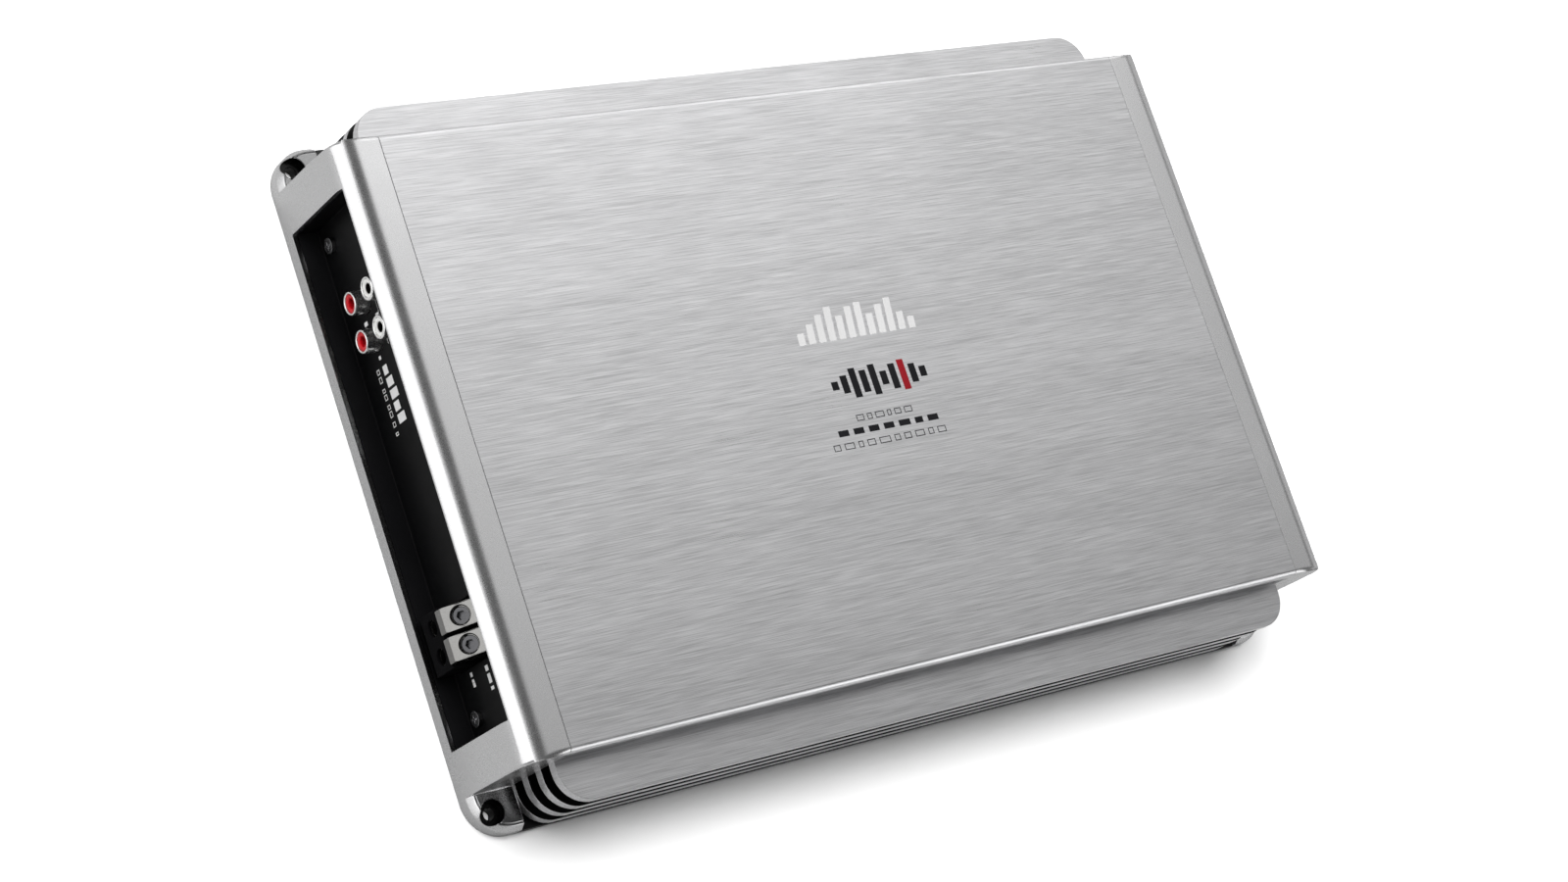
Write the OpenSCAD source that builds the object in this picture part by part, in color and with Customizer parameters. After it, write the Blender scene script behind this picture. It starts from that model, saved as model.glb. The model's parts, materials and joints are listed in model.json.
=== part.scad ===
// Car amplifier: a finned aluminium extrusion between two cast end caps.
// Origin: centre of the footprint, on the mounting plane. +X runs along the
// long side towards the power end, +Y across, +Z up. Millimetres.

/* [Case] */
// Overall length over the two end caps
case_l = 368.2; // [340:0.1:400]
// Overall width over the fins and the mounting ears
case_w = 250; // [246:1:256]
// Overall height
case_h = 51.4; // [51:0.1:54]
// Width of the flat top plate
top_w = 220; // [216:1:224]
// Length of one end cap, from its outer face to the seam
cap_l = 17.4; // [17:0.1:20]
// Radius of the end cap's upper outer edge
cap_edge_r = 9.5; // [8:0.1:9.5]

/* [Heatsink] */
// Thickness of the top plate
plate_t = 4.4; // [4:0.1:5]
// Height of the topmost fin's upper face
fin_top = 38.2; // [37:0.1:39]
// Distance from one fin to the next
fin_pitch = 9.7; // [9.5:0.1:9.8]
// Number of fins on each long side
fin_count = 4; // [4:1:4]
// Thickness of one fin
fin_t = 4; // [3:0.1:4.5]
// Radius of the fins' corners in plan
fin_corner_r = 12; // [8:0.5:14]

/* [End caps] */
// Half width of the connector window
window_hw = 94; // [90:1:96]
// Height of the window's sill
sill_z = 5.7; // [5.2:0.1:6.5]
// Height of the window's upper edge
window_top = 46; // [45:0.1:46.5]
// Depth of the recess, from the outer face to the panel
recess_d = 10; // [9:0.1:10.5]
// Distance of the mounting holes in from each end
ear_hole_x = 7.1; // [7:0.1:8]
// Distance of the mounting holes in from each long side
ear_hole_y = 8; // [7.4:0.1:8]
// Diameter of the mounting holes
ear_hole_d = 4.2; // [4:0.1:5]
// Diameter of the counterbore above each mounting hole
ear_bore_d = 8.8; // [8:0.1:9]

/* [Connectors] */
// Outer diameter of a phono socket's shell
rca_d = 8.3; // [8.2:0.05:8.4]
// Distance between neighbouring phono sockets
rca_pitch = 14; // [13:0.1:15]
// Radius of a speaker wire entry
speaker_wire_r = 2.6; // [2:0.1:2.8]
// Radius of a battery wire entry
power_wire_r = 4.2; // [3:0.1:4.2]
// Radius of the remote turn-on wire entry
remote_wire_r = 1.9; // [1.5:0.1:2.5]
// Diameter of a control knob
knob_d = 8.4; // [7:0.1:9]

/* [Hidden] */
$fn = 48;
eps = 0.02;
gap = 0.3;                             // air between neighbouring pieces
slip = 0.05;                           // radial clearance of a running fit
half_l = case_l / 2;
half_w = case_w / 2;
seam_x = half_l - cap_l;               // joint between extrusion and cap
edge_x = half_l - cap_edge_r;          // axis of the cap's rounded edge
edge_z = case_h - cap_edge_r;
top_hw = top_w / 2;
long_edge_r = 2;                       // radius of the top's long edges
lip_z = case_h - plate_t;              // underside of the top plate
wall_out = 104.5;                      // outer face of the extrusion's walls
wall_in = 98.5;                        // inner face of the extrusion's walls
flange_z0 = 1;                         // the extrusion hangs clear of the surface
flange_z1 = 3.4;
ledge_in = 91;                         // inner edge of the cover's ledge
ledge_z1 = 5;
cover_z0 = 0.5;
cover_z1 = 2;
boss_y = 90;                           // screw channels under the top plate
boss_z = 42.7;
boss_r = 3.4;
m3_r = 1.5;
m3_hole_r = 1.6;
m3_head_r = 2.8;
m3_head_h = 1.8;
cap_wall = 2;                          // thickness of the cap's outer face
cap_side = 2.5;
cap_floor = 2.5;
cap_flange_t = 2;                      // flange against the extrusion
flange_hw = 82.5;                      // half width of the flange's window
tongue_l = 16;                         // cap floor's tongue over the cover
tongue_z1 = 4.2;
tongue_hw = 86;
ear_z = 8.2;                           // height of the ear's flat top
ear_wall_z = 5.2;                      // where its outer bevel starts
ear_bevel = 1.8;
ear_corner_r = 14;
ear_seat_z = 5;
ear_groove = 0.4;                      // width and depth of the fine groove
tray_t = 1.5;
tray_z0 = tongue_z1;
panel_x = half_l - recess_d;           // front of the recessed panel
post_y = 86;                           // tray screws
post_z = 12.8;
post_r = 3;
board_z0 = 8;
board_z1 = 9.6;
board_hl = 166.2;
board_hw = 96.5;
cover_screw_x = [-140, -50, 50, 140];
cover_screw_y = 94.8;
tongue_screw_x = seam_x - 10;
tongue_screw_y = 60;
standoff_x = [-142, -30, 75];
standoff_y = 80;
hex_fn = 6;

// Phono sockets at the signal end
rca_y = [47.2, 47.2 + rca_pitch];
rca_z = [22.4, 22.4 + rca_pitch];
rca_front = 4;                         // sockets' faces, in from the end
rca_bore_r = 1.65;
rca_core_r = 3.3;

// Screw terminals, as a profile of depth u from the end face and height z
term_front = 0.3;
term_z1 = 25.4;
term_lip = 0.7;
term_slope = 42;
term_back = 24;
term_z0 = 12.6;
term_split_z = 21.8;
term_wire_z = 16;
term_well = 5.5;                       // screw's distance up the slope
set_r = 2.9;
set_l = 7.2;
set_sink = 1.2;
set_well_r = 3.5;
set_socket_r = 1.7;
pole_w = 8.7;
speaker_poles = [-53.5, -63.6];
power_poles = [40.5, 54, 67.5];
power_wires = [power_wire_r, remote_wire_r, power_wire_r];
power_w = [12, 9, 12];

// Blade fuses
fuse_y = [2, 12, 22];
fuse_z = 25;
fuse_h = 19;
fuse_t = 5;
fuse_grip = 7;                         // body standing out of the holder
blade_w = 5.2;
blade_t = 0.7;
blade_l = 6.6;
holder_back = 20.5;

// Controls
knob_y = [-16, -31, -46, -61];
knob_z = 27;
knob_front = 4;
shaft_r = 3;
switch_y = -75;
switch_z = 35;
jack_y = -75;
jack_z = 18;
led_y = -5.5;
led_z = [21, 31];
led_r = 1.5;
control_x0 = half_l - 20.6;
control_x1 = half_l - 19;

// ---- helpers ---------------------------------------------------------

// Mirrors its children to the end given by side: 1 power, -1 signal
module at_end(side) {
    if (side > 0) children();
    else mirror([1, 0, 0]) children();
}

// Box from its lowest and highest corners
module block(low, high) {
    translate(low) cube(high - low);
}

// Rectangle from -half to +half with round corners
module round_plan(half_x, half_y, r) {
    square([2 * half_x, 2 * (half_y - r)], center = true);
    square([2 * (half_x - r), 2 * half_y], center = true);
    for (sx = [-1, 1], sy = [-1, 1])
        translate([sx * (half_x - r), sy * (half_y - r)]) circle(r);
}

// Stands a shape drawn as (x, z) up and gives it a width along Y
module along_y(y0, y1) {
    translate([0, y1, 0]) rotate([90, 0, 0]) linear_extrude(y1 - y0) children();
}

// Stands a shape drawn as (y, z) up and gives it a length along X
module along_x(x0, x1) {
    translate([x0, 0, 0]) rotate([90, 0, 90]) linear_extrude(x1 - x0) children();
}

// Round bar along X
module rod_x(x0, x1, y, z, r) {
    translate([x0, y, z]) rotate([0, 90, 0]) cylinder(x1 - x0, r, r);
}

// Pan-head screw; its head stands on z = 0 and its shank points down
module pan_screw(shank_l) {
    difference() {
        union() {
            translate([0, 0, -shank_l]) cylinder(shank_l + eps, m3_r, m3_r);
            cylinder(m3_head_h, m3_head_r, m3_head_r);
        }
        for (a = [0, 90])
            rotate(a) translate([-1.6, -0.35, 0.7]) cube([3.2, 0.7, 2]);
    }
}

// Countersunk screw; its head is flush with z = 0 and its shank points up
module flat_screw(shank_l) {
    difference() {
        union() {
            cylinder(1.2, 2.6, m3_r);
            cylinder(shank_l, m3_r, m3_r);
        }
        for (a = [0, 90])
            rotate(a) translate([-1.5, -0.35, -1]) cube([3, 0.7, 1.8]);
    }
}

// ---- case --------------------------------------------------------------

module heatsink_side() {
    translate([wall_in, flange_z0]) square([wall_out - wall_in, lip_z + 1]);
    for (i = [0:fin_count - 1])
        translate([wall_out - 1, fin_top - i * fin_pitch - fin_t])
            square([half_w - wall_out + 1, fin_t]);
    translate([wall_in, flange_z0])
        square([half_w - wall_in, flange_z1 - flange_z0]);
    translate([ledge_in, cover_z1])
        square([wall_in - ledge_in + 1, ledge_z1 - cover_z1]);
    translate([boss_y, boss_z]) circle(boss_r);
    translate([boss_y - boss_r, boss_z])
        square([2 * boss_r, lip_z - boss_z + 1]);
}

module heatsink_profile() {
    translate([-top_hw, lip_z]) square([top_w, plate_t - long_edge_r]);
    translate([long_edge_r - top_hw, lip_z])
        square([top_w - 2 * long_edge_r, plate_t]);
    for (s = [-1, 1])
        translate([s * (top_hw - long_edge_r), case_h - long_edge_r])
            circle(long_edge_r);
    heatsink_side();
    mirror([1, 0]) heatsink_side();
}

module heatsink() {
    color("silver") difference() {
        intersection() {
            along_x(-seam_x, seam_x) heatsink_profile();
            union() {
                block([-seam_x, -half_w, -1], [seam_x, half_w, flange_z1 + 1]);
                linear_extrude(case_h + 1)
                    round_plan(seam_x, half_w, fin_corner_r);
            }
        }
        for (sx = [-1, 1], sy = [-1, 1])
            translate([sx * (seam_x - 7), sy * boss_y, boss_z])
                rotate([0, 90, 0]) cylinder(16, m3_hole_r, m3_hole_r, center = true);
        for (x = cover_screw_x, sy = [-1, 1])
            translate([x, sy * cover_screw_y, cover_z1 - 1])
                cylinder(ledge_z1, m3_hole_r, m3_hole_r);
        for (x = clamp_screw_x, sy = [-1, 1])
            translate([x, sy * (wall_in + 2.3), clamp_z])
                rotate([90, 0, 0])
                    cylinder(6, m3_hole_r, m3_hole_r, center = true);
    }
}

// Cap's outline seen from the side: flat top, rounded outer edge
module cap_side_shape(x0, z0, inset) {
    intersection() {
        union() {
            translate([x0, z0]) square([edge_x - x0, case_h - inset - z0]);
            translate([x0, z0]) square([half_l - inset - x0, edge_z - z0]);
            translate([edge_x, edge_z]) circle(cap_edge_r - inset);
        }
        translate([x0, z0]) square([half_l - x0, case_h - z0]);
    }
}

// Cap's outline seen along the case: upright sides, small top edges
module cap_front_shape() {
    translate([-top_hw, 0]) square([top_w, case_h - long_edge_r]);
    translate([long_edge_r - top_hw, 0])
        square([top_w - 2 * long_edge_r, case_h]);
    for (s = [-1, 1])
        translate([s * (top_hw - long_edge_r), case_h - long_edge_r])
            circle(long_edge_r);
}

// Ear's section, from reach inside its outer wall out to the wall at x = 0
module ear_section(reach) {
    polygon([
        [-reach, 0],
        [0, 0],
        [0, ear_wall_z],
        [-ear_bevel, ear_z],
        [-ear_bevel - ear_groove, ear_z],
        [-ear_bevel - ear_groove, ear_z - ear_groove],
        [-ear_bevel - 2 * ear_groove, ear_z - ear_groove],
        [-ear_bevel - 2 * ear_groove, ear_z],
        [-reach, ear_z],
    ]);
}

// Solid ear at the cap's +Y corner: two straight runs and a round corner
module ear() {
    bend_x = half_l - ear_corner_r;
    bend_y = half_w - ear_corner_r;
    translate([bend_x, bend_y, 0])
        rotate_extrude(angle = 90)
            translate([ear_corner_r, 0]) ear_section(ear_corner_r);
    along_x(seam_x, bend_x)
        translate([half_w, 0]) ear_section(half_w - top_hw + 4);
    block([seam_x, top_hw - 4, 0], [bend_x + 1, bend_y + 1, ear_z]);
    along_y(top_hw - 4, bend_y)
        translate([half_l, 0]) ear_section(ear_corner_r);
}

module ears() {
    ear();
    mirror([0, 1, 0]) ear();
}

module end_cap() {
    difference() {
        union() {
            difference() {
                union() {
                    intersection() {
                        along_y(-top_hw, top_hw) cap_side_shape(seam_x, 0, 0);
                        along_x(seam_x, half_l) cap_front_shape();
                    }
                    ears();
                }
                along_y(cap_side - top_hw, top_hw - cap_side)
                    cap_side_shape(seam_x + cap_flange_t, cap_floor, cap_wall);
                block([seam_x - 1, -flange_hw, cap_floor],
                    [seam_x + cap_flange_t + 1, flange_hw, window_top]);
            }
            block([seam_x - tongue_l, -tongue_hw, cover_z1],
                [seam_x + 6, tongue_hw, tongue_z1]);
            for (sy = [-1, 1])
                rod_x(seam_x + cap_flange_t - eps, panel_x - tray_t,
                    sy * post_y, post_z, post_r);
        }
        block([half_l - cap_wall - 3, -window_hw, sill_z],
            [half_l + 1, window_hw, window_top]);
        for (sy = [-1, 1]) {
            translate([half_l - ear_hole_x, sy * (half_w - ear_hole_y), 0]) {
                translate([0, 0, ear_seat_z])
                    cylinder(ear_z, ear_bore_d / 2, ear_bore_d / 2);
                translate([0, 0, -1])
                    cylinder(ear_z, ear_hole_d / 2, ear_hole_d / 2);
            }
            rod_x(seam_x - 1, seam_x + cap_flange_t + 1,
                sy * boss_y, boss_z, m3_hole_r);
            rod_x(seam_x - 1, panel_x, sy * post_y, post_z, m3_hole_r);
            translate([tongue_screw_x, sy * tongue_screw_y, 0])
                cylinder(ear_z + 1, m3_hole_r, m3_hole_r);
        }
    }
}

module end_cap_signal() { color("silver") at_end(-1) end_cap(); }
module end_cap_power() { color("silver") at_end(1) end_cap(); }

module cap_screws() {
    color("gray") for (side = [-1, 1], sy = [-1, 1])
        at_end(side)
            translate([seam_x + cap_flange_t, sy * boss_y, boss_z])
                rotate([0, 90, 0]) pan_screw(12);
}

// Recessed panel: an open moulding that lines the window
module tray() {
    difference() {
        intersection() {
            along_y(-window_hw - tray_t, window_hw + tray_t)
                cap_side_shape(panel_x - tray_t, tray_z0, cap_wall + 0.1);
            block([panel_x - tray_t, -window_hw - tray_t, tray_z0],
                [half_l - cap_wall - 0.1, window_hw + tray_t, case_h]);
        }
        along_y(-window_hw, window_hw)
            cap_side_shape(panel_x, sill_z, cap_wall + 0.1 + tray_t);
        block([half_l - cap_wall - 3, -window_hw, sill_z],
            [half_l, window_hw, window_top]);
        for (sy = [-1, 1])
            rod_x(panel_x - 3, panel_x + 1, sy * post_y, post_z, m3_hole_r);
    }
}

module signal_tray() {
    color([0.08, 0.08, 0.09]) at_end(-1) difference() {
        tray();
        for (y = rca_y, z = rca_z)
            rod_x(panel_x - 3, panel_x + 1, y, z, rca_d / 2 + 0.2);
        block([panel_x - 3, speaker_y0 - gap, board_z1],
            [panel_x + 1, speaker_y1 + gap, term_top + gap]);
    }
}

module power_tray() {
    color([0.08, 0.08, 0.09]) difference() {
        tray();
        block([panel_x - 3, power_y0 - gap, board_z1],
            [panel_x + 1, power_y1 + gap, term_top + gap]);
        block([panel_x - 3, fuse_y0 - gap, holder_z0 - gap],
            [panel_x + 1, fuse_y1 + gap, holder_z1 + gap]);
        for (y = knob_y)
            rod_x(panel_x - 3, panel_x + 1, y, knob_z, shaft_r + 0.4);
        block([panel_x - 3, switch_y - 4.4, switch_z - 2],
            [panel_x + 1, switch_y + 4.4, switch_z + 2]);
        block([panel_x - 3, jack_y - 6.3, jack_z - 5.3],
            [panel_x + 1, jack_y + 6.3, jack_z + 5.3]);
        for (z = led_z)
            rod_x(panel_x - 3, panel_x + 1, led_y, z, led_r + 0.1);
    }
}

module tray_screw_pair() {
    for (sy = [-1, 1])
        translate([panel_x, sy * post_y, post_z])
            rotate([0, 90, 0]) pan_screw(6);
}

module signal_tray_screws() { color("gray") at_end(-1) tray_screw_pair(); }
module power_tray_screws() { color("gray") tray_screw_pair(); }

module bottom_cover() {
    color([0.15, 0.15, 0.16]) difference() {
        block([-seam_x + 0.2, -wall_in + 0.2, cover_z0],
            [seam_x - 0.2, wall_in - 0.2, cover_z1]);
        for (p = cover_screw_places)
            translate([p.x, p.y, cover_z0 - eps]) {
                cylinder(1.3, 2.7, m3_hole_r);
                cylinder(4, m3_hole_r, m3_hole_r);
            }
    }
}

module cover_screws() {
    color("gray") for (p = cover_screw_places)
        translate([p.x, p.y, cover_z0]) flat_screw(3.6);
}

// ---- boards ------------------------------------------------------------

module main_board() {
    color("darkgreen") difference() {
        block([-board_hl, -board_hw, board_z0], [board_hl, board_hw, board_z1]);
        for (x = standoff_x, sy = [-1, 1])
            translate([x, sy * standoff_y, 0])
                cylinder(20, m3_hole_r, m3_hole_r);
    }
}

module board_standoffs() {
    color("gold") for (x = standoff_x, sy = [-1, 1])
        translate([x, sy * standoff_y, cover_z1]) difference() {
            cylinder(board_z0 - cover_z1, 3, 3, $fn = hex_fn);
            translate([0, 0, 1.5])
                cylinder(board_z0, m3_hole_r, m3_hole_r);
        }
}

module board_screws() {
    color("gray") for (x = standoff_x, sy = [-1, 1])
        translate([x, sy * standoff_y, board_z1]) pan_screw(5);
}

module control_board() {
    color("darkgreen") block([control_x0, -84, board_z1 + 1],
        [control_x1, -3.2, 41]);
}

// ---- signal end --------------------------------------------------------

module rca_housing() {
    color([0.1, 0.1, 0.1]) at_end(-1) difference() {
        block([half_l - 24, rca_y[0] - 7, board_z1],
            [panel_x - tray_t - 0.1, rca_y[1] + 7, rca_z[1] + 6.5]);
        for (y = rca_y, z = rca_z)
            rod_x(half_l - 21, half_l, y, z, rca_d / 2);
    }
}

module rca_shells() {
    color("silver") at_end(-1) for (y = rca_y, z = rca_z)
        difference() {
            rod_x(half_l - 21, half_l - rca_front, y, z, rca_d / 2);
            rod_x(half_l - 22, half_l, y, z, rca_core_r);
        }
}

module rca_core_row(z) {
    at_end(-1) for (y = rca_y)
        difference() {
            rod_x(half_l - 21, half_l - rca_front - 0.3, y, z, rca_core_r);
            rod_x(half_l - 16, half_l, y, z, rca_bore_r);
            rod_x(half_l - 22, half_l - 10, y, z, rca_bore_r + 0.5);
        }
}

module rca_cores_white() { color("white") rca_core_row(rca_z[1]); }
module rca_cores_red() { color("red") rca_core_row(rca_z[0]); }

module rca_contacts() {
    color("gold") at_end(-1) for (y = rca_y, z = rca_z)
        difference() {
            rod_x(half_l - 20, half_l - 10, y, z, rca_bore_r + 0.5);
            rod_x(half_l - 16, half_l, y, z, rca_bore_r);
        }
}

// ---- screw terminals -----------------------------------------------------

slope_u = term_front + term_lip;       // where the slope starts
slope_z = term_z1 + term_lip;
term_top = slope_z + (recess_d - slope_u) * tan(term_slope);
well_u = slope_u + term_well * cos(term_slope);
well_z = slope_z + term_well * sin(term_slope);
speaker_y0 = speaker_poles[1] - pole_w / 2 - 1.2;
speaker_y1 = speaker_poles[0] + pole_w / 2 + 1.2;
power_y0 = power_poles[0] - power_w[0] / 2 - 1.2;
power_y1 = power_poles[2] + power_w[2] / 2 + 1.2;

// Puts children on the slope at the screw's centre, +Z out of the face
module on_slope(y) {
    translate([half_l - well_u, y, well_z])
        rotate([0, term_slope, 0]) children();
}

// One nickel pole with its wire entry and its tapped hole
module pole(y, w, wire_r) {
    difference() {
        along_y(y - w / 2, y + w / 2)
            translate([half_l, 0]) mirror([1, 0])
                polygon([
                    [term_front + 2, term_z0],
                    [term_front + 2, term_split_z],
                    [term_front, term_split_z],
                    [term_front, term_z1],
                    [slope_u, slope_z],
                    [recess_d, term_top],
                    [term_back, term_top],
                    [term_back, term_z0],
                ]);
        rod_x(half_l - term_back + 1.5, half_l, y, min_wire_z(wire_r), wire_r);
        on_slope(y) {
            translate([0, 0, -set_l - 6])
                cylinder(set_l + 8, set_r + slip, set_r + slip);
            translate([0, 0, -set_sink]) cylinder(4, set_well_r, set_well_r);
        }
    }
}

// Height of a wire entry's axis: it stays above the pole's floor
function min_wire_z(r) = max(term_wire_z, term_z0 + r + 0.2);

module terminal_housing(y0, y1, poles, widths, wires) {
    difference() {
        block([half_l - term_back - 1.8, y0, board_z1],
            [half_l - term_front - 0.9, y1, term_split_z - 0.1]);
        for (i = [0:len(poles) - 1]) {
            block([half_l - term_back - 0.1, poles[i] - widths[i] / 2 - 0.1,
                term_z0 - 0.1],
                [half_l - term_front - 1.9, poles[i] + widths[i] / 2 + 0.1,
                case_h]);
            rod_x(half_l - 5, half_l + 1, poles[i],
                min_wire_z(wires[i]), wires[i] + 0.4);
        }
    }
}

module speaker_terminal_housing() {
    color([0.1, 0.1, 0.1]) at_end(-1)
        terminal_housing(speaker_y0, speaker_y1, speaker_poles,
            [pole_w, pole_w], [speaker_wire_r, speaker_wire_r]);
}

module speaker_terminal_poles() {
    color("gainsboro") at_end(-1) for (y = speaker_poles)
        pole(y, pole_w, speaker_wire_r);
}

module power_terminal_housing() {
    color([0.1, 0.1, 0.1])
        terminal_housing(power_y0, power_y1, power_poles, power_w, power_wires);
}

module power_terminal_poles() {
    color("gainsboro") for (i = [0:2])
        pole(power_poles[i], power_w[i], power_wires[i]);
}

// Hex-socket set screw in its tapped hole
module set_screw(y) {
    color("dimgray") on_slope(y) difference() {
        translate([0, 0, -set_sink - 0.2 - set_l]) cylinder(set_l, set_r, set_r);
        translate([0, 0, -set_sink - 0.2 - 2.6])
            cylinder(5, set_socket_r, set_socket_r, $fn = hex_fn);
    }
}

module speaker_set_screw_1() { at_end(-1) set_screw(speaker_poles[0]); }
module speaker_set_screw_2() { at_end(-1) set_screw(speaker_poles[1]); }
module power_set_screw_1() { set_screw(power_poles[0]); }
module power_set_screw_2() { set_screw(power_poles[1]); }
module power_set_screw_3() { set_screw(power_poles[2]); }

// ---- fuses -----------------------------------------------------------------

fuse_y0 = fuse_y[0] - fuse_t / 2 - 2;
fuse_y1 = fuse_y[2] + fuse_t / 2 + 2;
holder_z0 = fuse_z - fuse_h / 2 - 2;
holder_z1 = fuse_z + fuse_h / 2 + 2;
fuse_front = panel_x + 1 + fuse_grip;
fuse_seat = panel_x - 3;               // bottom of the body's pocket
blade_off = fuse_h / 2 - blade_w / 2 - 0.6;

module fuse_holder() {
    color([0.1, 0.1, 0.1]) difference() {
        union() {
            block([half_l - holder_back, fuse_y0, holder_z0],
                [panel_x + 1, fuse_y1, holder_z1]);
            block([half_l - holder_back, fuse_y0, board_z1],
                [panel_x - tray_t - 1, fuse_y1, holder_z0 + 0.5]);
        }
        for (y = fuse_y) {
            block([fuse_seat - 0.1, y - fuse_t / 2 - 0.3, fuse_z - fuse_h / 2 - 0.3],
                [half_l, y + fuse_t / 2 + 0.3, fuse_z + fuse_h / 2 + 0.3]);
            for (s = [-1, 1])
                block([half_l - holder_back + 0.8, y - 1.7,
                    fuse_z + s * blade_off - blade_w / 2 - 0.4],
                    [half_l, y + 1.7,
                    fuse_z + s * blade_off + blade_w / 2 + 0.4]);
        }
    }
}

// Two spring leaves stand on either side of each blade
module fuse_clips() {
    color("gold") for (y = fuse_y, s = [-1, 1], t = [-1, 1])
        block([half_l - holder_back + 0.8, y + t * 1.2 - 0.4,
            fuse_z + s * blade_off - blade_w / 2],
            [fuse_seat - 1, y + t * 1.2 + 0.4,
            fuse_z + s * blade_off + blade_w / 2]);
}

module fuse_body(y) {
    color("orange") difference() {
        block([fuse_seat + 0.2, y - fuse_t / 2, fuse_z - fuse_h / 2],
            [fuse_front, y + fuse_t / 2, fuse_z + fuse_h / 2]);
        for (s = [-1, 1])
            block([fuse_front - 3, y + s * fuse_t / 2 - 0.5, fuse_z - 5],
                [fuse_front - 1, y + s * fuse_t / 2 + 0.5, fuse_z + 5]);
    }
}

module fuse_blades(y) {
    color("silver") for (s = [-1, 1])
        block([fuse_seat + 0.2 - blade_l, y - blade_t / 2,
            fuse_z + s * blade_off - blade_w / 2],
            [fuse_seat + 0.2, y + blade_t / 2,
            fuse_z + s * blade_off + blade_w / 2]);
}

module fuse_body_1() { fuse_body(fuse_y[0]); }
module fuse_body_2() { fuse_body(fuse_y[1]); }
module fuse_body_3() { fuse_body(fuse_y[2]); }
module fuse_blades_1() { fuse_blades(fuse_y[0]); }
module fuse_blades_2() { fuse_blades(fuse_y[1]); }
module fuse_blades_3() { fuse_blades(fuse_y[2]); }

// ---- controls ----------------------------------------------------------------

module potentiometers() {
    color("royalblue") for (y = knob_y)
        difference() {
            block([control_x1, y - 5.5, knob_z - 6],
                [panel_x - tray_t - 0.2, y + 5.5, knob_z + 6]);
            rod_x(control_x1 + 1.4, half_l, y, knob_z, shaft_r + slip);
        }
}

// Knob and shaft are one moulding with a slot as its pointer
module knob(y) {
    color([0.12, 0.12, 0.12]) difference() {
        union() {
            rod_x(control_x1 + 1.7, panel_x + 0.6, y, knob_z, shaft_r);
            rod_x(panel_x + 0.5, half_l - knob_front, y, knob_z, knob_d / 2);
        }
        block([half_l - knob_front - 1, y - 0.5, knob_z - 0.6],
            [half_l, y + 0.5, knob_z + knob_d]);
        for (a = [0:30:330])
            translate([0, y, knob_z]) rotate([a, 0, 0])
                translate([panel_x + 0.4, 0, knob_d / 2 + 0.25])
                    rotate([0, 90, 0]) cylinder(recess_d, 0.6, 0.6);
    }
}

module gain_knob() { knob(knob_y[0]); }
module crossover_knob() { knob(knob_y[1]); }
module subsonic_knob() { knob(knob_y[2]); }
module bass_knob() { knob(knob_y[3]); }

module phase_switch() {
    color("gray") difference() {
        block([control_x1, switch_y - 6, switch_z - 3.4],
            [panel_x - tray_t - 0.2, switch_y + 6, switch_z + 3.4]);
        block([control_x1 + 3, switch_y - 4.2, switch_z - 1.6],
            [half_l, switch_y + 4.2, switch_z + 1.6]);
    }
}

module phase_slider() {
    color([0.9, 0.9, 0.9])
        block([control_x1 + 3.3, switch_y - 3.9, switch_z - 1.3],
            [panel_x + 2.5, switch_y - 0.1, switch_z + 1.3]);
}

// Modular socket for a wired level control
module remote_jack() {
    color([0.12, 0.12, 0.12]) difference() {
        block([control_x1, jack_y - 6, jack_z - 5],
            [panel_x + 0.4, jack_y + 6, jack_z + 5]);
        block([control_x1 + 1, jack_y - 4.8, jack_z - 3.4],
            [half_l, jack_y + 4.8, jack_z + 3.4]);
    }
}

module status_leds() {
    color("green") for (z = led_z)
        rod_x(control_x1, panel_x + 1, led_y, z, led_r);
}

// ---- parts on the main board ---------------------------------------------------

coil_x = [15, 75];
fet_x = [for (i = [0:7]) 8 + 16 * i];
clamp_screw_x = [0, 48, 96, 128];
clamp_z = 21;
fet_y0 = wall_in - 0.4 - 4.6;
fet_y1 = wall_in - 0.4;

// Ring of wire on a core, with rounded corners in section
module wound_ring(r_in, r_out, h) {
    r = 3;
    rotate_extrude() {
        translate([r_in + r, 0]) square([r_out - r_in - 2 * r, h]);
        translate([r_in, r]) square([r_out - r_in, h - 2 * r]);
        for (x = [r_in + r, r_out - r], y = [r, h - r])
            translate([x, y]) circle(r, $fn = 24);
    }
}

module transformer_windings() {
    color("orangered") for (x = coil_x)
        translate([x, 0, board_z1 + 2]) wound_ring(9, 26, 24);
}

module transformer_bases() {
    color([0.15, 0.15, 0.15]) for (x = coil_x)
        translate([x, 0, board_z1]) cylinder(2, 20, 20);
}

module output_inductors() {
    color("orangered") for (x = [-50, -90])
        translate([x, -48, board_z1]) wound_ring(6, 18, 18);
}

module rail_capacitors() {
    color([0.1, 0.12, 0.3]) for (x = [-18, 2, 22, 42], sy = [-1, 1])
        translate([x, sy * 52, board_z1]) cylinder(30, 9, 9);
}

module input_capacitors() {
    color([0.1, 0.12, 0.3]) for (x = [112, 132], sy = [-1, 1])
        translate([x, sy * 18, board_z1]) cylinder(30, 8, 8);
}

module signal_capacitors() {
    color([0.1, 0.12, 0.3]) for (x = [-135, -122, -109], y = [20, 34, 48])
        translate([x, y, board_z1]) cylinder(8, 3.2, 3.2);
}

module transistor(x) {
    block([x - 5, fet_y0, 13], [x + 5, fet_y1, 28]);
    for (i = [-1:1])
        block([x + i * 2.5 - 0.4, fet_y0 + 1, board_z1],
            [x + i * 2.5 + 0.4, fet_y0 + 1.8, 13]);
}

module transistors_near() {
    color([0.12, 0.12, 0.12]) mirror([0, 1, 0]) for (x = fet_x) transistor(x);
}

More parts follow.
